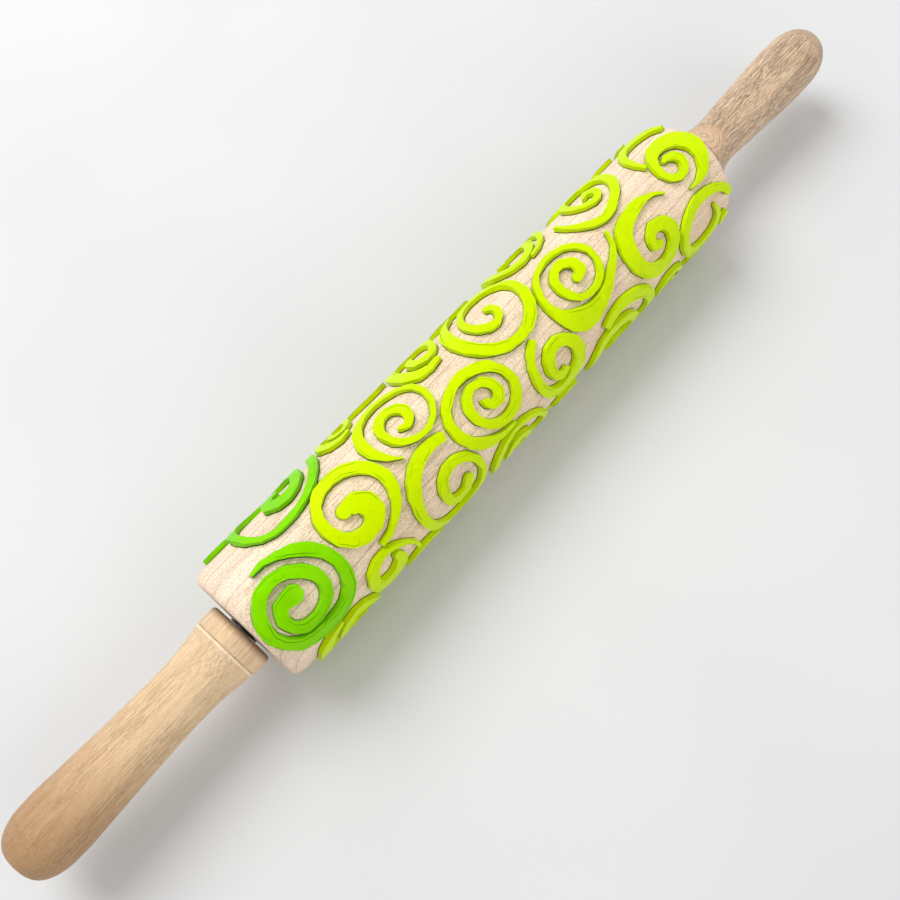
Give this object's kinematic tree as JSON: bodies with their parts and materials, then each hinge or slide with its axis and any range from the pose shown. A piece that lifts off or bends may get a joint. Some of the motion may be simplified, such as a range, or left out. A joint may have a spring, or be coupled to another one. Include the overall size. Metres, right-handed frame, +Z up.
{
  "type": "clay texture roller",
  "caption": "Wooden rolling pin with spiral craft foam strips glued round its barrel, used to press a swirl texture into clay.",
  "frame": {"origin": "centre of the barrel on the axle's axis", "axes": "+X along the axle from the near handle to the far handle, +Z up, +Y across the barrel"},
  "size_m": [0.4408, 0.0526, 0.0525],
  "materials": {
    "barrel_wood": "sanded bare beech",
    "near_handle_wood": "sanded bare wood",
    "far_handle_wood": "sanded bare wood with raised grain",
    "axle_steel": "drawn",
    "bushing_nylon": "matt black",
    "foam_lime": "matt foam",
    "foam_green": "matt foam"
  },
  "bodies": {
    "barrel": {"barrel": "barrel_wood", "near_bushing": "bushing_nylon", "far_bushing": "bushing_nylon", "upper_swirl_1": "foam_green", "upper_swirl_2": "foam_lime", "upper_swirl_3": "foam_lime", "upper_swirl_4": "foam_lime", "upper_swirl_5": "foam_lime", "upper_swirl_6": "foam_lime", "upper_swirl_7": "foam_lime", "upper_swirl_8": "foam_lime", "middle_swirl_1": "foam_green", "middle_swirl_2": "foam_lime", "middle_swirl_3": "foam_lime", "middle_swirl_4": "foam_lime", "middle_swirl_5": "foam_lime", "middle_swirl_6": "foam_lime", "lower_swirl_1": "foam_lime", "lower_swirl_2": "foam_lime", "lower_swirl_3": "foam_lime", "lower_swirl_4": "foam_lime", "lower_swirl_5": "foam_lime", "lower_swirl_6": "foam_lime", "lower_swirl_7": "foam_lime", "lower_swirl_8": "foam_lime", "lower_swirl_9": "foam_lime", "front_swirl_1": "foam_lime", "front_swirl_2": "foam_lime", "front_swirl_3": "foam_lime", "front_swirl_4": "foam_lime", "front_swirl_5": "foam_lime", "front_swirl_6": "foam_lime", "front_swirl_7": "foam_lime", "front_swirl_8": "foam_lime", "front_swirl_9": "foam_lime", "front_swirl_10": "foam_lime", "front_swirl_11": "foam_lime", "base_swirl_1": "foam_lime", "base_swirl_2": "foam_lime", "base_swirl_3": "foam_lime", "base_swirl_4": "foam_lime", "base_swirl_5": "foam_lime", "base_swirl_6": "foam_lime", "base_swirl_7": "foam_lime", "base_swirl_8": "foam_lime", "back_swirl_1": "foam_green", "back_swirl_2": "foam_lime", "back_swirl_3": "foam_lime", "back_swirl_4": "foam_lime", "back_swirl_5": "foam_lime", "back_swirl_6": "foam_lime"},
    "handles": {"axle_rod": "axle_steel", "near_handle": "near_handle_wood", "far_handle": "far_handle_wood"}
  },
  "joints": [
    {"name": "handle_spin", "type": "hinge", "parent": "barrel", "child": "handles", "pos_m": [0, 0, 0], "axis": [1, 0, 0], "continuous": true}
  ]
}
